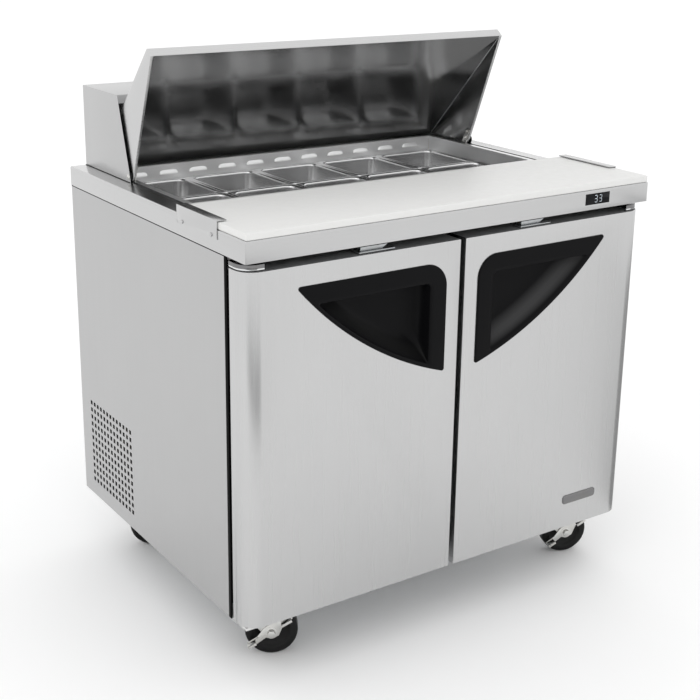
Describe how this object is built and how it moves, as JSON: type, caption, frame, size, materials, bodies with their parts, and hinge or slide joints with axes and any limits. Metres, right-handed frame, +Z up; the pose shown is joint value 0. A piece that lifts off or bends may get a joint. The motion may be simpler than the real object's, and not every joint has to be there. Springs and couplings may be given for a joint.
{
  "type": "sandwich prep table",
  "caption": "Refrigerated sandwich prep table with hinged doors, a recessed pan well under a rotating hood, a cutting board and swivel casters.",
  "frame": {"origin": "on the floor, at the centre of the bounding box's bottom face", "axes": "+X to the right of a person facing the doors, -Y towards that person, +Z up"},
  "size_m": [0.9314, 0.73, 1.118],
  "materials": {
    "steel": "brushed satin",
    "bright_steel": "fine brushed",
    "galvanised": "dull galvanised",
    "foam": "closed-cell foam",
    "white_liner": "smooth",
    "gasket": "matte",
    "black_plastic": "satin",
    "black_gloss": "gloss",
    "board": "matte",
    "chrome": "polished",
    "black_enamel": "satin",
    "coil": "satin",
    "shelf_coating": "smooth coating",
    "zinc": "bright zinc",
    "wheel": "matte",
    "fan": "satin",
    "motor": "satin"
  },
  "bodies": {
    "cabinet": {"side_panel_left": "steel", "side_panel_right": "steel", "back_panel": "galvanised", "base_panel": "galvanised", "front_frame": "steel", "inner_liner": "bright_steel", "insulation": "foam", "worktop": "steel", "pan_well": "bright_steel", "louvre_panel": "bright_steel", "hood_box": "steel", "divider_bars": "bright_steel", "board_brackets": "steel", "display_unit": "black_gloss", "compressor": "black_enamel", "condenser": "black_enamel", "evaporator": "coil", "fan_motors": "motor", "shelf_supports": "bright_steel", "hinge_brackets": "chrome", "power_inlet": "black_plastic", "caster_plates": "zinc"},
    "door_left": {"door_shell_left": "steel", "door_foam_left": "foam", "door_liner_left": "white_liner", "door_gasket_left": "gasket", "door_handle_left": "black_plastic"},
    "door_right": {"door_shell_right": "steel", "door_foam_right": "foam", "door_liner_right": "white_liner", "door_gasket_right": "gasket", "door_handle_right": "black_plastic"},
    "hood": {"hood_shell": "steel", "hood_foam": "foam", "hood_lining": "bright_steel"},
    "pan_front_1": {"pan_front_1": "bright_steel"},
    "pan_front_2": {"pan_front_2": "bright_steel"},
    "pan_front_3": {"pan_front_3": "bright_steel"},
    "pan_front_4": {"pan_front_4": "bright_steel"},
    "pan_front_5": {"pan_front_5": "bright_steel"},
    "pan_rear_1": {"pan_rear_1": "bright_steel"},
    "pan_rear_2": {"pan_rear_2": "bright_steel"},
    "pan_rear_3": {"pan_rear_3": "bright_steel"},
    "pan_rear_4": {"pan_rear_4": "bright_steel"},
    "pan_rear_5": {"pan_rear_5": "bright_steel"},
    "cutting_board": {"cutting_board": "board"},
    "shelf_left": {"shelf_left": "shelf_coating"},
    "shelf_right": {"shelf_right": "shelf_coating"},
    "caster_fl": {"caster_fork_fl": "zinc"},
    "wheel_fl": {"caster_wheel_fl": "wheel"},
    "caster_fr": {"caster_fork_fr": "zinc"},
    "wheel_fr": {"caster_wheel_fr": "wheel"},
    "caster_rl": {"caster_fork_rl": "zinc"},
    "wheel_rl": {"caster_wheel_rl": "wheel"},
    "caster_rr": {"caster_fork_rr": "zinc"},
    "wheel_rr": {"caster_wheel_rr": "wheel"},
    "brake_fl": {"brake_lever_fl": "zinc"},
    "brake_fr": {"brake_lever_fr": "zinc"},
    "condenser_fan": {"condenser_fan": "fan"},
    "evaporator_fan": {"evaporator_fan": "fan"}
  },
  "joints": [
    {"name": "door_left_hinge", "type": "hinge", "parent": "cabinet", "child": "door_left", "pos_m": [-0.445, -0.331, 0.45], "axis": [0, 0, -1], "range_deg": [0, 110]},
    {"name": "door_right_hinge", "type": "hinge", "parent": "cabinet", "child": "door_right", "pos_m": [0.445, -0.331, 0.45], "axis": [0, 0, 1], "range_deg": [0, 110]},
    {"name": "hood_hinge", "type": "hinge", "parent": "cabinet", "child": "hood", "pos_m": [0, 0.154, 0.8625], "axis": [-1, 0, 0], "range_deg": [-68.9, 0]},
    {"name": "pan_front_1_lift", "type": "slide", "parent": "cabinet", "child": "pan_front_1", "axis": [0, 0, 1], "range_m": [0, 0.15]},
    {"name": "pan_front_2_lift", "type": "slide", "parent": "cabinet", "child": "pan_front_2", "axis": [0, 0, 1], "range_m": [0, 0.15]},
    {"name": "pan_front_3_lift", "type": "slide", "parent": "cabinet", "child": "pan_front_3", "axis": [0, 0, 1], "range_m": [0, 0.15]},
    {"name": "pan_front_4_lift", "type": "slide", "parent": "cabinet", "child": "pan_front_4", "axis": [0, 0, 1], "range_m": [0, 0.15]},
    {"name": "pan_front_5_lift", "type": "slide", "parent": "cabinet", "child": "pan_front_5", "axis": [0, 0, 1], "range_m": [0, 0.15]},
    {"name": "pan_rear_1_lift", "type": "slide", "parent": "cabinet", "child": "pan_rear_1", "axis": [0, 0, 1], "range_m": [0, 0.036]},
    {"name": "pan_rear_2_lift", "type": "slide", "parent": "cabinet", "child": "pan_rear_2", "axis": [0, 0, 1], "range_m": [0, 0.036]},
    {"name": "pan_rear_3_lift", "type": "slide", "parent": "cabinet", "child": "pan_rear_3", "axis": [0, 0, 1], "range_m": [0, 0.036]},
    {"name": "pan_rear_4_lift", "type": "slide", "parent": "cabinet", "child": "pan_rear_4", "axis": [0, 0, 1], "range_m": [0, 0.036]},
    {"name": "pan_rear_5_lift", "type": "slide", "parent": "cabinet", "child": "pan_rear_5", "axis": [0, 0, 1], "range_m": [0, 0.036]},
    {"name": "cutting_board_slide", "type": "slide", "parent": "cabinet", "child": "cutting_board", "axis": [0, -1, 0], "range_m": [0, 0.21]},
    {"name": "shelf_left_lift", "type": "slide", "parent": "cabinet", "child": "shelf_left", "axis": [0, 0, 1], "range_m": [0, 0.05]},
    {"name": "shelf_right_lift", "type": "slide", "parent": "cabinet", "child": "shelf_right", "axis": [0, 0, 1], "range_m": [0, 0.05]},
    {"name": "caster_fl_swivel", "type": "hinge", "parent": "cabinet", "child": "caster_fl", "pos_m": [-0.376, -0.229, 0.115], "axis": [0, 0, 1], "continuous": true},
    {"name": "caster_fr_swivel", "type": "hinge", "parent": "cabinet", "child": "caster_fr", "pos_m": [0.376, -0.229, 0.115], "axis": [0, 0, 1], "continuous": true},
    {"name": "caster_rl_swivel", "type": "hinge", "parent": "cabinet", "child": "caster_rl", "pos_m": [-0.376, 0.287, 0.115], "axis": [0, 0, 1], "continuous": true},
    {"name": "caster_rr_swivel", "type": "hinge", "parent": "cabinet", "child": "caster_rr", "pos_m": [0.376, 0.287, 0.115], "axis": [0, 0, 1], "continuous": true},
    {"name": "wheel_fl_spin", "type": "hinge", "parent": "caster_fl", "child": "wheel_fl", "pos_m": [-0.34569, -0.2465, 0.0508], "axis": [0.5, 0.866, 0], "continuous": true},
    {"name": "wheel_fr_spin", "type": "hinge", "parent": "caster_fr", "child": "wheel_fr", "pos_m": [0.40889, -0.24097, 0.0508], "axis": [0.342, 0.9397, 0], "continuous": true},
    {"name": "wheel_rl_spin", "type": "hinge", "parent": "caster_rl", "child": "wheel_rl", "pos_m": [-0.34428, 0.27221, 0.0508], "axis": [0.4226, 0.9063, 0], "continuous": true},
    {"name": "wheel_rr_spin", "type": "hinge", "parent": "caster_rr", "child": "wheel_rr", "pos_m": [0.34311, 0.27503, 0.0508], "axis": [0.342, -0.9397, 0], "continuous": true},
    {"name": "brake_fl_lever", "type": "hinge", "parent": "caster_fl", "child": "brake_fl", "pos_m": [-0.34569, -0.2465, 0.0508], "axis": [0.5, 0.866, 0], "range_deg": [0, 24]},
    {"name": "brake_fr_lever", "type": "hinge", "parent": "caster_fr", "child": "brake_fr", "pos_m": [0.40889, -0.24097, 0.0508], "axis": [0.342, 0.9397, 0], "range_deg": [0, 24]},
    {"name": "condenser_fan_spin", "type": "hinge", "parent": "cabinet", "child": "condenser_fan", "pos_m": [-0.377, 0.2225, 0.247], "axis": [1, 0, 0], "continuous": true},
    {"name": "evaporator_fan_spin", "type": "hinge", "parent": "cabinet", "child": "evaporator_fan", "pos_m": [0, 0.21, 0.614], "axis": [0, 1, 0], "continuous": true}
  ]
}
